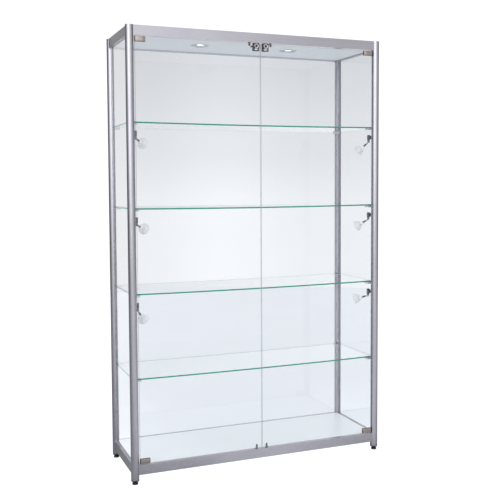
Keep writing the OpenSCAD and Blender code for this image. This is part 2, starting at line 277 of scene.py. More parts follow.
def reflector_glass():
    """Milky pressed glass of a reflector lamp, over its thin mirror coating."""
    made = Material("reflector_glass", (0.93, 0.94, 0.95), 0.12, IOR=1.5, Transmission_Weight=0.25)
    haze = made.noise(300, 3.0)
    made.feed("Roughness", made.ranged(haze, 0.08, 0.2))
    made.bump(made.noise(700, 2.0), 0.00003)
    return made.data


def make_materials():
    return {
        "post": anodised("anodised_posts", "z"),
        "rail_x": anodised("anodised_rails_along_x", "x"),
        "rail_y": anodised("anodised_rails_along_y", "y"),
        # The rear rails take a lighter copy of the anodising: painted light, for the light they show inside
        # the case.
        "rear_rail_painted_lighter": anodised("anodised_rear_rails_painted_lighter", "x", 1.7),
        "glass": float_glass("clear_float_glass", (0.935, 0.95, 0.965)),
        "shelf": float_glass("shelf_float_glass", (0.95, 0.975, 0.975)),
        "edge": glass_edge("pane_edge", (0.36, 0.41, 0.44), (0.44, 0.49, 0.52)),
        "shelf_edge": glass_edge("shelf_edge", (0.0, 0.24, 0.15), (0.0, 0.31, 0.20)),
        "chrome": chrome("polished_chrome", (0.62, 0.60, 0.59), 0.12),
        "nickel": chrome("black_nickel", (0.36, 0.31, 0.29), 0.14),
        "dark_chrome": chrome("dark_chrome", (0.07, 0.068, 0.08), 0.2),
        "steel": chrome("zinc_plated_steel", (0.55, 0.55, 0.54), 0.3),
        "support": chrome("satin_shelf_support", (0.86, 0.86, 0.87), 0.35),
        "white_sheet": painted("painted_sheet", (0.77, 0.79, 0.80), 0.5),
        "white_board": painted("laminated_board", (0.79, 0.82, 0.84), 0.32, 1600),
        "black": moulded("black_plastic", (0.008, 0.008, 0.009), 0.5),
        "rubber": moulded("black_seal", (0.03, 0.03, 0.032), 0.6),
        "seal": moulded("grey_seal", (0.42, 0.44, 0.47), 0.5),
        "dark": chrome("dark_plated", (0.16, 0.16, 0.17), 0.28),
        "lamp_rim": chrome("satin_lamp_rim", (0.55, 0.56, 0.57), 0.32),
        "lamp_light": glowing("lit_lamp", (1.0, 0.99, 0.95), 6.0),
        "facets": chrome("mirror_facets", (0.88, 0.88, 0.87), 0.16),
        "ceramic": moulded("lamp_ceramic", (0.80, 0.79, 0.76), 0.45),
        "reflector": reflector_glass(),
    }


# ---------------------------------------------------------------- mesh tools

SMOOTH_BELOW = math.radians(34)


def piece(name, bm, materials, body, place=None):
    """Turns bm into a named object that rides on a body. Edges sharper than SMOOTH_BELOW stay sharp."""
    bmesh.ops.recalc_face_normals(bm, faces=bm.faces)
    for face in bm.faces:
        face.smooth = True
    for edge in bm.edges:
        if len(edge.link_faces) == 2:
            edge.smooth = edge.calc_face_angle() < SMOOTH_BELOW
    mesh = bpy.data.meshes.new(name)
    bm.to_mesh(mesh)
    bm.free()
    for material in materials:
        mesh.materials.append(material)
    made = bpy.data.objects.new(name, mesh)
    if place is not None:
        made.data.transform(place)
        if place.determinant() < 0:
            made.data.flip_normals()
    bpy.context.scene.collection.objects.link(made)
    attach(made, body)
    return made


def add_block(bm, low, high, bevel, material=0, segments=2):
    """A box from corner to corner with rounded edges."""
    low, high = Vector(low), Vector(high)
    made = bmesh.ops.create_cube(bm, size=1.0)["verts"]
    for vert in made:
        vert.co = Vector(low[i] + (vert.co[i] + 0.5) * (high[i] - low[i]) for i in range(3))
    faces = {face for vert in made for face in vert.link_faces}
    for face in faces:
        face.material_index = material
    edges = {edge for vert in made for edge in vert.link_edges}
    bmesh.ops.bevel(bm, geom=list(edges), offset=bevel, segments=segments, profile=0.5, affect="EDGES",
                    material=-1)


def add_lathe(bm, profile, place=None, segments=48, material=0, facets=None):
    """Turns a profile of (radius, height) points about Z. A radius of 0 closes the end."""
    place = place or Matrix.Identity(4)
    rings = []
    for radius, height in profile:
        if radius == 0:
            rings.append([bm.verts.new(place @ Vector((0, 0, height)))])
            continue
        ring = []
        for i in range(segments):
            angle = 2 * math.pi * i / segments
            swell = 1 + (facets or 0) * (i % 2)
            ring.append(bm.verts.new(place @ Vector((radius * swell * math.cos(angle),
                                                     radius * swell * math.sin(angle), height))))
        rings.append(ring)
    for one, two in zip(rings, rings[1:]):
        for i in range(segments):
            j = (i + 1) % segments
            corners = [one[i % len(one)], one[j % len(one)], two[j % len(two)], two[i % len(two)]]
            unique = list(dict.fromkeys(corners))
            if len(unique) > 2:
                bm.faces.new(unique).material_index = material


def inset(outline, distance):
    """The outline, listed anticlockwise, moved inwards by a distance."""
    moved = []
    for before, here, after in zip(outline[-1:] + outline[:-1], outline, outline[1:] + outline[:1]):
        first = (Vector(here) - Vector(before)).normalized()
        second = (Vector(after) - Vector(here)).normalized()
        normals = [Vector((-d.y, d.x)) for d in (first, second)]
        shift = (normals[0] + normals[1]) / (1 + normals[0].dot(normals[1]))
        moved.append(Vector(here) + shift * distance)
    return moved


def add_plate(bm, outline, low, thick, chamfer, place, face_material=0, edge_material=1):
    """A flat plate from an anticlockwise outline, with its edge faces chamfered."""
    small = inset(outline, chamfer)
    levels = [(small, low), (outline, low + chamfer), (outline, low + thick - chamfer), (small, low + thick)]
    rings = []
    for points, height in levels:
        rings.append([bm.verts.new(place @ Vector((*point, height))) for point in points])
    bm.faces.new(rings[0][::-1]).material_index = face_material
    bm.faces.new(rings[-1]).material_index = face_material
    for one, two in zip(rings, rings[1:]):
        for i in range(len(one)):
            j = (i + 1) % len(one)
            bm.faces.new((one[i], one[j], two[j], two[i])).material_index = edge_material


def rectangle(low, high):
    return [Vector((low[0], low[1])), Vector((high[0], low[1])), Vector((high[0], high[1])),
            Vector((low[0], high[1]))]


def paint(nodes, material):
    """Gives CAD nodes one material."""
    for node in nodes:
        mesh = frame["nodes"][node].data
        mesh.materials.clear()
        mesh.materials.append(material)


# Planes that a plate's outline is drawn in: the plate's thickness runs along the third axis.
IN_XZ = Matrix(((1, 0, 0, 0), (0, 0, -1, 0), (0, 1, 0, 0), (0, 0, 0, 1)))
IN_YZ = Matrix(((0, 0, 1, 0), (1, 0, 0, 0), (0, 1, 0, 0), (0, 0, 0, 1)))
MIRROR_X = Matrix.Diagonal((-1, 1, 1, 1))


# ---------------------------------------------------------------- glass

ARRIS = 0.7 * MM
NOTCH_W, NOTCH_H = 20 * MM, 18 * MM
LOCK_NOTCH_W, LOCK_NOTCH_H = 24 * MM, 23 * MM
SAG = 3.2 * MM
SHELF_SPANS = 32


def make_fixed_panes(look):
    for side in SIDES:
        low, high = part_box(f"glass_{side}")
        bm = bmesh.new()
        add_plate(bm, rectangle((low.y, low.z), (high.y, high.z)), low.x, high.x - low.x, ARRIS, IN_YZ)
        made = piece(f"pane_{side}", bm, (look["glass"], look["edge"]), "root")
        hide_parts(f"glass_{side}")
    low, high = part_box("glass_rear")
    bm = bmesh.new()
    add_plate(bm, rectangle((low.x, low.z), (high.x, high.z)), -high.y, high.y - low.y, ARRIS, IN_XZ)
    made = piece("pane_rear", bm, (look["glass"], look["edge"]), "root")
    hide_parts("glass_rear")


def make_door_panes(look):
    """The left pane has a corner notch for each hinge clamp and one in its top edge for the lock."""
    low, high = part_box("door_glass_left")
    lock_low, lock_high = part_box("lock_body_left")
    lock_x = (lock_low.x + lock_high.x) / 2
    outline = [
        (low.x + NOTCH_W, low.z), (high.x, low.z), (high.x, high.z),
        (lock_x + LOCK_NOTCH_W / 2, high.z), (lock_x + LOCK_NOTCH_W / 2, high.z - LOCK_NOTCH_H),
        (lock_x - LOCK_NOTCH_W / 2, high.z - LOCK_NOTCH_H), (lock_x - LOCK_NOTCH_W / 2, high.z),
        (low.x + NOTCH_W, high.z), (low.x + NOTCH_W, high.z - NOTCH_H), (low.x, high.z - NOTCH_H),
        (low.x, low.z + NOTCH_H - MM), (low.x + NOTCH_W, low.z + NOTCH_H - MM),
    ]
    for side, sign in SIDES.items():
        bm = bmesh.new()
        add_plate(bm, [Vector(p) for p in outline], -high.y, high.y - low.y, ARRIS, IN_XZ)
        made = piece(f"door_pane_{side}", bm, (look["glass"], look["edge"]), f"door_{side}",
                     MIRROR_X if sign > 0 else None)
        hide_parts(f"door_glass_{side}")


def make_shelf_panes(look):
    """Glass shelves that sag a little between their supports, in cross sections along X."""
    for k in SHELVES:
        low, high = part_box(f"shelf_{k}")
        half = (high.x - low.x) / 2
        step = (2 * half - 2 * ARRIS) / SHELF_SPANS
        stations = [(low.x, ARRIS)]
        stations += [(low.x + ARRIS + i * step, 0) for i in range(SHELF_SPANS + 1)]
        stations += [(high.x, ARRIS)]
        bm = bmesh.new()
        rings = []
        for x, shrink in stations:
            drop = -SAG * (1 - (x / half) ** 2)
            y0, y1 = low.y + shrink, high.y - shrink
            z0, z1 = low.z + shrink + drop, high.z - shrink + drop
            cut = ARRIS - shrink * 0.9
            section = [(y0 + cut, z0), (y1 - cut, z0), (y1, z0 + cut), (y1, z1 - cut),
                       (y1 - cut, z1), (y0 + cut, z1), (y0, z1 - cut), (y0, z0 + cut)]
            rings.append([bm.verts.new((x, y, z)) for y, z in section])
        for one, two in zip(rings, rings[1:]):
            for i in range(len(one)):
                j = (i + 1) % len(one)
                top_or_bottom = i in (0, 4)
                side_face = bm.faces.new((one[i], one[j], two[j], two[i]))
                side_face.material_index = 0 if top_or_bottom else 1
        for ring in (rings[0], rings[-1]):
            bm.faces.new(ring).material_index = 1
        made = piece(f"shelf_pane_{k}", bm, (look["shelf"], look["shelf_edge"]),
                     f"shelf_{k}_assembly")
        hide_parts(f"shelf_{k}")


# ---------------------------------------------------------------- seals

SEAL_T = 0.45 * MM
SEAL_PROUD = 0.8 * MM
SEAL_BEVEL = 0.1 * MM


def make_seals(look):
    """Thin wedge seals on both faces of the fixed panes, just proud of the grooves they sit in."""
    rail_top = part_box("bottom_rail_rear")[1].z
    rail_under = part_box("top_rail_rear")[0].z
    bm = bmesh.new()
    for side in SIDES:
        low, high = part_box(f"glass_{side}")
        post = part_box(f"post_front_{side}")[1].y
        for x0 in (low.x - SEAL_T, high.x):
            for z in (rail_top, rail_under):
                add_block(bm, (x0, post, z - SEAL_PROUD), (x0 + SEAL_T, -post, z + SEAL_PROUD),
                          SEAL_BEVEL)
            for y in (post, -post):
                add_block(bm, (x0, y - SEAL_PROUD, rail_top),
                          (x0 + SEAL_T, y + SEAL_PROUD, rail_under), SEAL_BEVEL)
    low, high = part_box("glass_rear")
    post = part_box("post_rear_left")[1].x
    for y0 in (low.y - SEAL_T, high.y):
        for z in (rail_top, rail_under):
            add_block(bm, (post, y0, z - SEAL_PROUD), (-post, y0 + SEAL_T, z + SEAL_PROUD), SEAL_BEVEL)
        for x in (post, -post):
            add_block(bm, (x - SEAL_PROUD, y0, rail_top), (x + SEAL_PROUD, y0 + SEAL_T, rail_under),
                      SEAL_BEVEL)
    piece("glazing_seals", bm, (look["seal"],), "root")


# ---------------------------------------------------------------- door fittings

CLAMP_H = 22 * MM
GASKET_T = 0.8 * MM
LOCK_PLATE_H = 12.5 * MM
BARREL_R, SHAFT_R = 9 * MM, 7 * MM
CAM_T = 2.5 * MM


def add_screw(bm, place, radius, height, material=0, socket_material=0):
    """A button-head screw with a hexagon socket, its head rising along local +Z from z = 0."""
    across = radius * 0.5
    add_lathe(bm, [(0, height * 0.35), (across, height * 0.35)], place, 6, socket_material)
    add_lathe(bm, [(across, height * 0.35), (across, height)], place, 6, socket_material)
    add_lathe(bm, [(across, height), (radius * 0.72, height), (radius * 0.93, height * 0.7),
                   (radius, height * 0.3), (radius, 0)], place, 24, material)


def make_hinge_clamps(look):
    """Two plates on each door corner with gaskets, the core between them, and two screws at the back. The
    black gaskets stand out past the plates' ends, as a dark strip that is partly real gasket and partly
    painted shade.
    """
    for side, sign in SIDES.items():
        low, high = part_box("hinge_clamps_left")
        pane_low, pane_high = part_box("door_glass_left")
        bm = bmesh.new()
        for z0, pivot_up in ((low.z, False), (high.z - CLAMP_H, True)):
            z1 = z0 + CLAMP_H
            add_block(bm, (low.x, low.y, z0), (high.x, pane_low.y - GASKET_T, z1), 1.0 * MM, 0, 3)
            add_block(bm, (low.x, pane_high.y + GASKET_T, z0), (high.x, high.y, z1), 1.0 * MM, 0, 3)
            # The gaskets reach 2 mm and 1 mm past the plates' ends and 0.4 mm above and below them: a black
            # strip that is partly the real gasket and partly painted shade at the clamp's edges.
            for y in (pane_low.y - GASKET_T, pane_high.y):
                add_block(bm, (low.x - 2 * MM, y, z0 - 0.4 * MM),
                          (high.x + 1 * MM, y + GASKET_T, z1 + 0.4 * MM), 0.2 * MM, 2)
            core = (z1 - NOTCH_H, z1) if pivot_up else (z0, z0 + NOTCH_H)
            add_block(bm, (low.x + 0.3 * MM, pane_low.y, core[0] + 0.3 * MM),
                      (low.x + NOTCH_W - 2.2 * MM, pane_high.y, core[1] - 0.3 * MM), 0.2 * MM)
            for x in (low.x + 12 * MM, high.x - 9 * MM):
                middle = Vector((x, high.y - 0.4 * MM, (z0 + z1) / 2))
                add_screw(bm, Matrix.Translation(middle) @ Matrix.Rotation(-math.pi / 2, 4, "X"),
                          3.2 * MM, 1.8 * MM, 0, 1)
        made = piece(f"corner_clamps_{side}", bm, (look["nickel"], look["dark_chrome"], look["rubber"]),
                     f"door_{side}", MIRROR_X if sign > 0 else None)
        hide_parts(f"hinge_clamps_{side}")


def make_lock_housing(look, side, mirror):
    """A rounded housing, a raised lower plate with two screws, and the plate behind the glass."""
    low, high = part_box("lock_body_left")
    pane_low, pane_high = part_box("door_glass_left")
    split = low.z + LOCK_PLATE_H
    bm = bmesh.new()
    add_block(bm, (low.x, low.y, split + 0.4 * MM), (high.x, pane_low.y, high.z), 1.6 * MM, 0, 3)
    add_block(bm, (low.x, low.y + 1.2 * MM, low.z), (high.x, pane_low.y, split), 1.2 * MM, 0, 3)
    add_block(bm, (low.x + 8 * MM, low.y + 0.3 * MM, low.z + 2.5 * MM),
              (high.x - 8 * MM, low.y + 3 * MM, split - 2.5 * MM), 0.8 * MM, 1, 2)
    add_block(bm, (low.x, pane_high.y, low.z), (high.x, high.y, high.z), 0.8 * MM, 0, 2)
    add_block(bm, (low.x + 2.5 * MM, pane_low.y, pane_high.z - LOCK_NOTCH_H + 0.5 * MM),
              (high.x - 2.5 * MM, pane_high.y, high.z - 0.4 * MM), 0.2 * MM, 0)
    for x in (low.x + 4.2 * MM, high.x - 4.2 * MM):
        spot = Matrix.Translation((x, low.y + 1.4 * MM, (low.z + split) / 2))
        add_screw(bm, spot @ Matrix.Rotation(math.pi / 2, 4, "X"), 2.4 * MM, 1.3 * MM, 1, 0)
    made = piece(f"lock_housing_{side}", bm, (look["dark_chrome"], look["chrome"]), f"door_{side}",
                 mirror)
    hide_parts(f"lock_body_{side}")


def make_lock_cylinder(look, side, mirror):
    """A cylinder with a keyed face and a rounded rim in front, and a cam on its shaft at the back."""
    body_back = -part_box("lock_body_left")[1].y
    low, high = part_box("lock_cylinder_left")
    joint = JOINTS["lock_left_turn"]["pos_m"]
    facing = Matrix.Translation((joint[0], 0, joint[2])) @ Matrix.Rotation(math.pi / 2, 4, "X")
    front, back = -low.y, -high.y
    bm = bmesh.new()
    add_lathe(bm, [(0, front - 1.0 * MM), (5.6 * MM, front - 1.0 * MM), (6.2 * MM, front - 0.4 * MM)],
              facing, 40, 3)
    add_lathe(bm, [(6.2 * MM, front - 0.4 * MM), (7.2 * MM, front), (9.2 * MM, front),
                   (10 * MM, front - 0.8 * MM), (10 * MM, front - 1.7 * MM),
                   (BARREL_R, front - 1.7 * MM), (BARREL_R, body_back - 0.3 * MM),
                   (SHAFT_R, body_back - 0.3 * MM), (SHAFT_R, back + CAM_T)], facing, 40, 0)
    # A black strip on the face stands for the key slot: the slot is real, and the shade inside it is painted
    # in black rather than cut.
    add_block(bm, (joint[0] - 0.55 * MM, low.y + 0.7 * MM, joint[2] - 3.6 * MM),
              (joint[0] + 0.55 * MM, low.y + 1.3 * MM, joint[2] + 3.6 * MM), 0.2 * MM, 2)
    add_block(bm, (low.x, high.y - CAM_T, joint[2] - 4 * MM),
              (joint[0] + 4 * MM, high.y, joint[2] + 4 * MM), 0.7 * MM, 1, 3)
    add_lathe(bm, [(SHAFT_R, back + CAM_T), (SHAFT_R, back + 0.4 * MM), (6.6 * MM, back), (0, back)],
              facing, 40, 0)
    made = piece(f"keyed_cylinder_{side}", bm,
                 (look["chrome"], look["steel"], look["black"], look["dark_chrome"]),
                 f"lock_{side}", mirror)
    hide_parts(f"lock_cylinder_{side}")


def make_locks(look):
    for side, sign in SIDES.items():
        mirror = MIRROR_X if sign > 0 else None
        make_lock_housing(look, side, mirror)
        make_lock_cylinder(look, side, mirror)


STOP_TOP_H = 14 * MM
STOP_BOTTOM_H = 20 * MM
STOP_BOTTOM_X = 24 * MM
STOP_HALF_W = 6 * MM


def make_door_stops(look):
    """Plated tabs, each with a soft bumper towards the glass, and a foot on the rail."""
    low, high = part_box("door_stops")
    tab_y = low.y + 1.2 * MM
    bm = bmesh.new()
    for sign in SIDES.values():
        x = sign * (high.x - STOP_HALF_W)
        tip, tip_half = high.z - STOP_TOP_H, STOP_HALF_W * 0.62
        corners = ((x - STOP_HALF_W, high.z), (x - tip_half, tip), (x + tip_half, tip),
                   (x + STOP_HALF_W, high.z))
        add_plate(bm, [Vector(p) for p in corners], -low.y - 3.4 * MM, 2.2 * MM, 0.5 * MM, IN_XZ, 0, 0)
        add_block(bm, (x - STOP_HALF_W, tab_y, high.z - 2 * MM), (x + STOP_HALF_W, high.y, high.z),
                  0.5 * MM)
        add_block(bm, (x - 3 * MM, low.y, tip + 1 * MM), (x + 3 * MM, low.y + 1.3 * MM, tip + 7 * MM),
                  0.4 * MM, 1)
        x = sign * STOP_BOTTOM_X
        tip, tip_half = low.z + STOP_BOTTOM_H, STOP_HALF_W * 0.5
        corners = ((x - STOP_HALF_W, low.z), (x + STOP_HALF_W, low.z), (x + tip_half, tip),
                   (x - tip_half, tip))
        add_plate(bm, [Vector(p) for p in corners], -low.y - 3.4 * MM, 2.2 * MM, 0.5 * MM, IN_XZ, 0, 0)
        add_block(bm, (x - STOP_HALF_W, tab_y, low.z), (x + STOP_HALF_W, high.y, low.z + 2 * MM),
                  0.5 * MM)
        add_block(bm, (x - 2.4 * MM, low.y, low.z + 11 * MM),
                  (x + 2.4 * MM, low.y + 1.3 * MM, low.z + 18 * MM), 0.4 * MM, 1)
    made = piece("door_stop_tabs", bm, (look["dark"], look["rubber"]), "root")
    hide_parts("door_stops")


# ---------------------------------------------------------------- feet

NECK_TOP = 14.7 * MM
THREAD_R, THREAD_ROOT_R = 3.9 * MM, 3.3 * MM
THREAD_PITCH = 1.1 * MM
THREAD_TURNS = 27


def make_feet(look):
    """A round pad with a soft lip, a neck with flats for a spanner, and a stem ringed as by a thread."""
    for end in ENDS:
        for side in SIDES:
            node = f"foot_{end}_{side}"
            low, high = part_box(node)
            place = Matrix.Translation(((low.x + high.x) / 2, (low.y + high.y) / 2, 0))
            bm = bmesh.new()
            add_lathe(bm, [(0, 0), (11.2 * MM, 0), (12.6 * MM, 0.8 * MM), (13 * MM, 2.2 * MM),
                           (13 * MM, 4.6 * MM), (12.4 * MM, 6.4 * MM), (10.4 * MM, 8.3 * MM),
                           (7.6 * MM, 9.6 * MM), (5.2 * MM, 10.4 * MM), (4.9 * MM, 11.6 * MM)], place)
            add_lathe(bm, [(4.9 * MM, 11.6 * MM), (6.6 * MM, 12.0 * MM), (6.7 * MM, 12.4 * MM),
                           (6.7 * MM, 13.9 * MM), (6.2 * MM, 14.6 * MM), (THREAD_R, NECK_TOP)], place, 6)
            threads = []
            for i in range(THREAD_TURNS):
                z = NECK_TOP + i * THREAD_PITCH
                threads += [(THREAD_R, z), (THREAD_ROOT_R, z + THREAD_PITCH / 2)]
            add_lathe(bm, threads + [(THREAD_R, high.z - 0.6 * MM), (3.0 * MM, high.z), (0, high.z)],
                      place, 24, 1)
            made = piece(f"levelling_{node}", bm, (look["black"], look["steel"]), node)
            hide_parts(node)


# ---------------------------------------------------------------- ceiling lights

CAN_R, THROAT_R, BULB_R = 34 * MM, 26 * MM, 25 * MM


def make_downlights(look):
    """Rounded rims round recessed reflector lamps, which are lit."""
    low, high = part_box("downlight_rims")
    radius = (high.y - low.y) / 2
    rims = bmesh.new()
    lamps = bmesh.new()
    for sign in SIDES.values():
        centre = Matrix.Translation((sign * (high.x - radius), (low.y + high.y) / 2, 0))
        z = low.z
        add_lathe(rims, [(CAN_R, high.z), (CAN_R, z + 3 * MM), (radius, z + 3 * MM),
                         (radius, z + 2.2 * MM), (radius - 1.6 * MM, z + 0.6 * MM), (radius - 4.5 * MM, z),
                         (radius - 8 * MM, z + 0.5 * MM), (radius - 10.2 * MM, z + 2.4 * MM),
                         (radius - 11 * MM, z + 6 * MM), (27 * MM, z + 9 * MM), (THROAT_R, z + 9.5 * MM),
                         (THROAT_R, high.z), (CAN_R, high.z)], centre, 64)
        add_lathe(lamps, [(0, z + 7.2 * MM), (14 * MM, z + 7.4 * MM), (23 * MM, z + 8.4 * MM),
                          (BULB_R, z + 9.2 * MM)], centre, 64, 0)
        add_lathe(lamps, [(BULB_R, z + 9.2 * MM), (25.6 * MM, z + 10.5 * MM), (BULB_R, z + 12 * MM),
                          (18 * MM, z + 19 * MM), (9 * MM, z + 24 * MM), (0, z + 24.5 * MM)], centre, 64, 1)
    made = piece("downlight_bezels", rims, (look["lamp_rim"],), "root")
    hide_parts("downlight_rims")
    made = piece("downlight_bulbs", lamps, (look["lamp_light"], look["reflector"]), "root")
    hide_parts("downlight_lamps")


# ---------------------------------------------------------------- spotlights

# downward tilt of each lamp in degrees, from the lowest to the top one
SPOT_TILTS = {"left": (42, 17, 16), "right": (17, 30, 38)}
FORK_TOP = 8.7 * MM
HOLDER_START, SOCKET_START = 12 * MM, 31 * MM
BOWL_START, BOWL_END = 42.5 * MM, 67.5 * MM
BOWL_BASE_R, BOWL_R = 9.5 * MM, 25 * MM
BOWL_WALL = 1.6 * MM
BOWL_STEPS = 10
LENS_DROP = 1.2 * MM


def spot_frame(side, level):
    """Local axes of a spotlight at its tilt pin: X along the plan direction of its aim, Y along the pin."""
    joint = JOINTS[f"spot_{side}_{level}_tilt"]
    pin = Vector(joint["axis"]).normalized()
    ahead = Vector((pin.y, -pin.x, 0))
    axes = Matrix((ahead, pin, Vector((0, 0, 1)))).transposed()
    return Matrix.Translation(Vector(joint["pos_m"])) @ axes.to_4x4()


def make_spot_arm(look, side, level):
    """A round head with its pivot, a fork of two rounded ears, and a cross pin with round heads."""
    local = spot_frame(side, level)
    across = Matrix.Rotation(-math.pi / 2, 4, "X")
    bm = bmesh.new()
    add_lathe(bm, [(0, FORK_TOP), (4.4 * MM, FORK_TOP), (5 * MM, FORK_TOP - 0.6 * MM),
                   (5 * MM, FORK_TOP - 2.1 * MM), (4.4 * MM, FORK_TOP - 2.7 * MM), (0, FORK_TOP - 2.7 * MM)],
              None, 32)
    add_lathe(bm, [(0, FORK_TOP + 9 * MM), (1.9 * MM, FORK_TOP + 9 * MM), (1.9 * MM, FORK_TOP - 0.2 * MM)],
              None, 20)
    for y in (-5 * MM, 3 * MM):
        add_block(bm, (-4 * MM, y, 0), (4 * MM, y + 2 * MM, FORK_TOP - 2 * MM), 0.5 * MM)
        add_lathe(bm, [(0, 2 * MM), (3.4 * MM, 2 * MM), (4 * MM, 1.5 * MM), (4 * MM, 0.5 * MM), (3.4 * MM, 0),
                       (0, 0)], Matrix.Translation((0, y, 0)) @ across, 32)
    add_lathe(bm, [(0, 5.9 * MM), (1.8 * MM, 5.9 * MM), (2.6 * MM, 5.3 * MM), (2.6 * MM, 4.9 * MM)],
              across, 24, 1)
    add_lathe(bm, [(2.6 * MM, -4.9 * MM), (2.6 * MM, -5.3 * MM), (1.8 * MM, -5.9 * MM), (0, -5.9 * MM)],
              across, 24, 1)
    add_lathe(bm, [(1.5 * MM, 5.0 * MM), (1.5 * MM, -5.0 * MM)], across, 20, 1)
    bmesh.ops.transform(bm, matrix=local, verts=bm.verts)
    made = piece(f"fork_{side}_{level}", bm, (look["dark"], look["chrome"]), f"arm_{side}_{level}")
    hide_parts(f"spot_arm_{side}_{level}")


def add_lamp_holder(bm):
    """The tongue on the cross pin, the neck, and a ribbed holder with a bright collar at each end."""
    across = Matrix.Rotation(-math.pi / 2, 4, "X")
    add_lathe(bm, [(1.6 * MM, 2.7 * MM), (3.5 * MM, 2.7 * MM), (4 * MM, 2.2 * MM), (4 * MM, -2.2 * MM),
                   (3.5 * MM, -2.7 * MM), (1.6 * MM, -2.7 * MM)], across, 32, 0)
    add_lathe(bm, [(2.2 * MM, 3 * MM), (2.2 * MM, HOLDER_START)], None, 24, 0)
    add_lathe(bm, [(0, HOLDER_START), (3.9 * MM, HOLDER_START), (4.5 * MM, HOLDER_START + 0.6 * MM),
                   (4.5 * MM, HOLDER_START + 3 * MM), (3.9 * MM, HOLDER_START + 3.4 * MM)], None, 32, 1)
    ribs = []
    for i in range(6):
        z = HOLDER_START + 3.4 * MM + i * 2 * MM
        ribs += [(3.6 * MM, z), (4.3 * MM, z + 0.4 * MM), (4.3 * MM, z + 1.3 * MM), (3.6 * MM, z + 1.7 * MM)]
    add_lathe(bm, ribs, None, 32, 0)
    add_lathe(bm, [(3.6 * MM, SOCKET_START - 3.9 * MM), (4.5 * MM, SOCKET_START - 3.5 * MM),
                   (4.5 * MM, SOCKET_START)], None, 32, 1)


def bowl_radius(t):
    """The reflector's outer radius from its neck, t = 0, to its rim, t = 1."""
    return BOWL_BASE_R + (BOWL_R - BOWL_BASE_R) * math.sqrt(t)


def add_bowl(bm):
    """The ceramic socket, and the pressed glass reflector with its facets, capsule and front lens."""
    add_lathe(bm, [(0, SOCKET_START), (6.6 * MM, SOCKET_START), (8 * MM, SOCKET_START + 1.2 * MM),
                   (8 * MM, SOCKET_START + 5 * MM), (7.2 * MM, SOCKET_START + 5.8 * MM),
                   (7.2 * MM, SOCKET_START + 7 * MM), (8 * MM, SOCKET_START + 7.8 * MM),
                   (8 * MM, BOWL_START - 0.6 * MM), (7.4 * MM, BOWL_START), (0, BOWL_START)], None, 40, 2)
    outer = [(bowl_radius(i / BOWL_STEPS), BOWL_START + (BOWL_END - BOWL_START) * i / BOWL_STEPS)
             for i in range(BOWL_STEPS + 1)]
    add_lathe(bm, [(0, BOWL_START), (8.6 * MM, BOWL_START)] + outer[:-1] +
              [(BOWL_R, BOWL_END - 1.6 * MM), (BOWL_R - 0.3 * MM, BOWL_END - 0.3 * MM),
               (BOWL_R - 0.9 * MM, BOWL_END)], None, 72, 3)
    inner = [(radius - BOWL_WALL, z + 0.6 * MM) for radius, z in outer[1:-1]]
    add_lathe(bm, [(BOWL_R - 0.9 * MM, BOWL_END), (BOWL_R - 1.8 * MM, BOWL_END - 0.8 * MM)] + inner[::-1] +
              [(6.5 * MM, BOWL_START + 1.4 * MM), (0, BOWL_START + 1.4 * MM)], None, 72, 4, 0.02)
    add_lathe(bm, [(0, BOWL_START + 1.4 * MM), (4.2 * MM, BOWL_START + 1.6 * MM),
                   (4.6 * MM, BOWL_START + 9 * MM), (3.6 * MM, BOWL_START + 13 * MM),
                   (1.6 * MM, BOWL_START + 15 * MM), (0, BOWL_START + 15.4 * MM)], None, 24, 5)
    lens_r = BOWL_R - 2.2 * MM
    add_lathe(bm, [(0, BOWL_END - LENS_DROP), (lens_r, BOWL_END - LENS_DROP),
                   (lens_r, BOWL_END - LENS_DROP - 0.8 * MM), (0, BOWL_END - LENS_DROP - 0.8 * MM)],
              None, 48, 5)


def make_spot_lamp(look, side, level):
    """The holder and the lamp, turned down from level by the lamp's tilt."""
    tilt = math.radians(SPOT_TILTS[side][LEVELS.index(level)])
    bm = bmesh.new()
    add_lamp_holder(bm)
    add_bowl(bm)
    aim = spot_frame(side, level) @ Matrix.Rotation(math.pi / 2 + tilt, 4, "Y")
    bmesh.ops.transform(bm, matrix=aim, verts=bm.verts)
    made = piece(f"reflector_lamp_{side}_{level}", bm,
                 (look["dark"], look["chrome"], look["ceramic"], look["reflector"], look["facets"],
                  look["glass"]),
                 f"lamp_{side}_{level}")
    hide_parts(f"spot_lamp_{side}_{level}")


def make_spotlights(look):
    for side in SIDES:
        for level in LEVELS:
            make_spot_arm(look, side, level)
            make_spot_lamp(look, side, level)


# ---------------------------------------------------------------- carried-over parts

def paint_cad(look):
    paint([f"post_{end}_{side}" for end in ENDS for side in SIDES] + ["post_caps"], look["post"])
    paint(["top_rail_front", "bottom_rail_front", "top_cover"], look["rail_x"])
    # The rear rails are painted lighter than the other rails, as painted light.
    paint(["top_rail_rear", "bottom_rail_rear"], look["rear_rail_painted_lighter"])
    paint(["top_rail_left", "top_rail_right", "bottom_rail_left", "bottom_rail_right"], look["rail_y"])
    paint(["ceiling_panel"], look["white_sheet"])
    paint(["floor_panel"], look["white_board"])
    paint(["rail_connectors", "pivot_pins"], look["steel"])
    paint([f"shelf_supports_{k}" for k in SHELVES], look["support"])
    paint(["transformer", "cable_gland", "foot_plugs"], look["black"])
    paint(["spot_bases"], look["dark"])


# ---------------------------------------------------------------- stage and light

FLOOR_REACH = 6.0
SOFT_LIGHT = 1.3
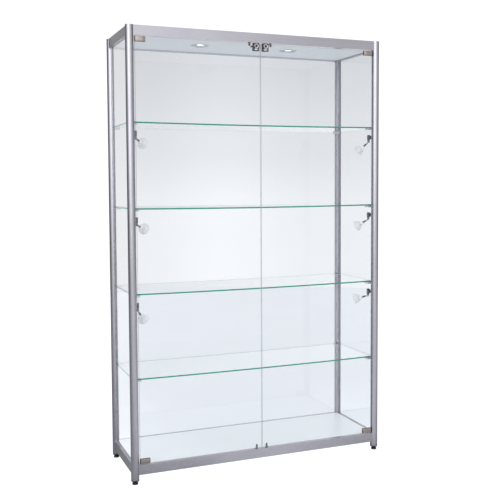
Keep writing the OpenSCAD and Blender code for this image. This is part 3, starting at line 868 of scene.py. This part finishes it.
# Brightness round the case by degrees from the front towards the right: as the metal mirrors it above
# and below the horizon, as glass mirrors it, and as it is seen through the panes.
IN_METAL = [(-180, 0.7), (-168, 0.5), (-155, 0.24), (-125, 0.2), (-95, 0.45), (-70, 1.3), (-45, 2.7),
            (-20, 2.7), (0, 1.8), (16, 1.45), (28, 0.75), (38, 0.85), (50, 0.8), (75, 0.3), (126, 0.24),
            (144, 1.0), (180, 0.7)]
FLOOR_IN_METAL = [(-180, 0.25), (-125, 0.1), (-95, 0.18), (-70, 0.3), (-45, 0.5), (-20, 0.7), (0, 0.75),
                  (30, 0.75), (50, 0.65), (75, 0.3), (126, 0.12), (144, 0.5), (180, 0.25)]
IN_GLASS = [(-180, 0.85), (-150, 0.82), (-110, 1.0), (-70, 1.3), (-35, 1.2), (0, 0.6), (40, 0.5),
            (65, 1.0), (110, 1.1), (144, 1.2), (180, 0.85)]
BEHIND_TURN = [(-180, 0.97), (145, 0.99), (153, 0.97), (160, 1.05), (166, 0.96), (180, 0.97)]
# brightness behind the panes by the sine of the elevation
BEHIND_PANES = [(-0.22, 0.98), (-0.14, 1.12), (-0.04, 1.10), (0.05, 0.95), (0.15, 0.83), (0.3, 0.81)]
FLOOR_BEHIND = 0.82
STUDIO_TOP = 0.9
# brightness of the floor and the background as the camera sees them, and of the floor as a light
SEEN_DIRECTLY = 1.1
FLOOR_LIGHT = 0.7 * SOFT_LIGHT
FLOOR_SIDES = 64
# sines of elevation between which the mirrored floor turns into the walls, and they into the ceiling
FLOOR_TO_WALLS = (-0.12, 0.05)
WALLS_TO_CEILING = (0.35, 0.85)


def by_turn(graph, x, y, stops):
    """Brightness by the turn from the front (-Y) towards the right (+X), in degrees."""
    turn = graph.math("ARCTAN2", x, graph.math("MULTIPLY", y, -1.0))
    fraction = graph.math("MULTIPLY_ADD", turn, 1 / (2 * math.pi), 0.5)
    return graph.ramp(fraction, [(degrees / 360 + 0.5, value) for degrees, value in stops])


def by_ray(graph, lit, in_metal, in_glass, behind_panes, direct):
    """The brightness for diffuse light, for reflections, for what panes show, and for the background."""
    path = graph.nodes.new("ShaderNodeLightPath").outputs
    through = graph.mix(path["Is Camera Ray"], behind_panes, direct)
    in_either = graph.mix(path["Is Singular Ray"], in_metal, in_glass)
    mirrored = graph.mix(graph.math("GREATER_THAN", path["Glossy Depth"], 0.5), through, in_either)
    return graph.mix(graph.math("GREATER_THAN", path["Diffuse Depth"], 0.5), mirrored, lit)


def make_floor():
    """A round pale floor, as bright to the camera as the background."""
    mesh = bpy.data.meshes.new("floor")
    angles = [2 * math.pi * i / FLOOR_SIDES for i in range(FLOOR_SIDES)]
    rim = [(FLOOR_REACH * math.cos(angle), FLOOR_REACH * math.sin(angle), 0) for angle in angles]
    mesh.from_pydata(rim, [], [list(range(FLOOR_SIDES))])
    made = bpy.data.objects.new("floor", mesh)
    bpy.context.scene.collection.objects.link(made)
    surface = Material("studio_floor", (0.2, 0.2, 0.2), 0.9)
    surface.set("Specular IOR Level", 0.0)
    surface.feed("Base Color", surface.mixed(surface.noise(2, 3.0), (0.14, 0.14, 0.14), (0.16, 0.16, 0.16)))
    place = surface.nodes.new("ShaderNodeSeparateXYZ")
    surface.links.new(surface.coordinates, place.inputs[0])
    x, y, _ = place.outputs
    in_metal = by_turn(surface, x, y, FLOOR_IN_METAL)
    in_glass = by_turn(surface, x, y, IN_GLASS)
    glow = by_ray(surface, FLOOR_LIGHT, in_metal, in_glass, FLOOR_BEHIND, SEEN_DIRECTLY)
    surface.set("Emission Color", (0.93, 0.95, 1.0, 1))
    surface.feed("Emission Strength", glow)
    mesh.materials.append(surface.data)


def make_world():
    """A white studio: bright to the front left and dim at the sides and back in reflections."""
    world = bpy.data.worlds.new("studio")
    bpy.context.scene.world = world
    world.use_nodes = True
    world.cycles.sampling_method = "NONE"
    graph = Graph(world.node_tree)
    background = graph.nodes["Background"]
    direction = graph.nodes.new("ShaderNodeSeparateXYZ")
    graph.links.new(graph.nodes.new("ShaderNodeTexCoord").outputs["Generated"], direction.inputs[0])
    x, y, z = direction.outputs
    around = graph.mix(graph.ranged(z, 0.0, 1.0, FLOOR_TO_WALLS, smooth=True),
                       by_turn(graph, x, y, FLOOR_IN_METAL), by_turn(graph, x, y, IN_METAL))
    in_metal = graph.mix(graph.ranged(z, 0.0, 1.0, WALLS_TO_CEILING, smooth=True), around, STUDIO_TOP)
    in_glass = by_turn(graph, x, y, IN_GLASS)
    low, high = BEHIND_PANES[0][0], BEHIND_PANES[-1][0]
    behind = graph.ramp(graph.ranged(z, 0.0, 1.0, (low, high)),
                        [((sine - low) / (high - low), value) for sine, value in BEHIND_PANES])
    behind = graph.math("MULTIPLY", behind, by_turn(graph, x, y, BEHIND_TURN))
    strength = by_ray(graph, SOFT_LIGHT, in_metal, in_glass, behind, SEEN_DIRECTLY)
    graph.connect(background.inputs["Strength"], strength)
    background.inputs["Color"].default_value = (0.985, 0.985, 1.0, 1)


# ---------------------------------------------------------------- build

def main():
    make_camera()
    look = make_materials()
    paint_cad(look)
    make_fixed_panes(look)
    make_door_panes(look)
    make_shelf_panes(look)
    make_seals(look)
    make_hinge_clamps(look)
    make_locks(look)
    make_door_stops(look)
    make_feet(look)
    make_downlights(look)
    make_spotlights(look)
    make_floor()
    make_world()
    bpy.context.scene.view_settings.view_transform = "Standard"


main()
